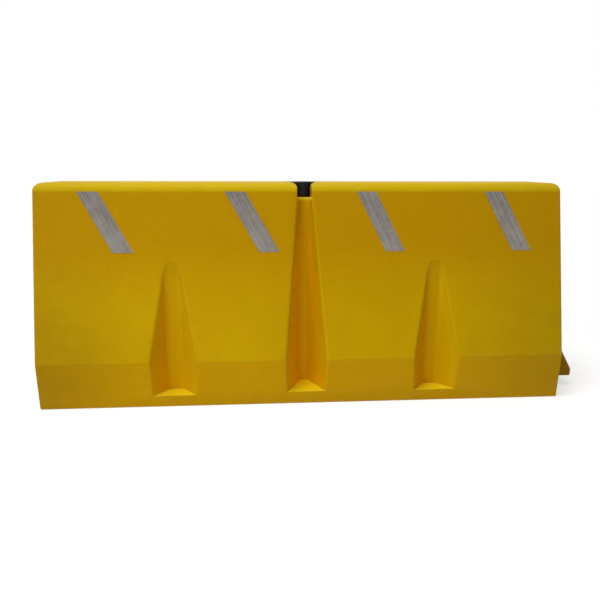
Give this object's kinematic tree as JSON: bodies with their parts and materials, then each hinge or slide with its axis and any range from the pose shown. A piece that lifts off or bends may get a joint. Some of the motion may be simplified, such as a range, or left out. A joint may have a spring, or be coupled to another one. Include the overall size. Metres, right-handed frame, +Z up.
{
  "type": "plastic safety barrier",
  "caption": "hollow moulded road barrier with a leaning grooved face, reflective stripes, a screw filler cap in a slot in its top, a drain plug, and a nose and pocket that link it to others",
  "frame": {"origin": "on the ground at the middle of the base, midway between the two end faces and under the filler", "axes": "+X along the barrier towards the end with the link nose, the pictured front looks to -Y, +Z up"},
  "size_m": [1.587, 0.4098, 0.626],
  "materials": {
    "yellow_plastic": "satin moulded polyethylene, slightly scuffed",
    "black_plastic": "satin black moulded plastic",
    "seal_rubber": "soft matt rubber",
    "reflective_tape": "silver grey reflective film with fine streaks"
  },
  "bodies": {
    "barrier": {"barrier_shell": "yellow_plastic", "filler_neck": "black_plastic", "drain_bush": "black_plastic", "tape_front_1": "reflective_tape", "tape_front_2": "reflective_tape", "tape_front_3": "reflective_tape", "tape_front_4": "reflective_tape", "tape_back_1": "reflective_tape", "tape_back_2": "reflective_tape", "tape_back_3": "reflective_tape", "tape_back_4": "reflective_tape"},
    "cap_seal": {"filler_seal": "seal_rubber"},
    "cap": {"filler_cap": "black_plastic"},
    "plug_washer": {"drain_washer": "seal_rubber"},
    "plug": {"drain_plug": "black_plastic"}
  },
  "joints": [
    {"name": "cap_rise", "type": "slide", "parent": "barrier", "child": "cap_seal", "axis": [0, 0, 1], "range_m": [0, 0.018]},
    {"name": "cap_turn", "type": "hinge", "parent": "cap_seal", "child": "cap", "pos_m": [0, 0, 0.606], "axis": [0, 0, 1], "range_deg": [0, 1080]},
    {"name": "plug_out", "type": "slide", "parent": "barrier", "child": "plug_washer", "axis": [0, 1, 0], "range_m": [0, 0.02]},
    {"name": "plug_turn", "type": "hinge", "parent": "plug_washer", "child": "plug", "pos_m": [-0.59, 0.18, 0.056], "axis": [0, 1, 0], "range_deg": [0, 1800]}
  ],
  "couplings": [
    {"joint": "cap_rise", "follows": "cap_turn", "m_per_rad": 0.00095492},
    {"joint": "plug_out", "follows": "plug_turn", "m_per_rad": 0.00063661}
  ]
}
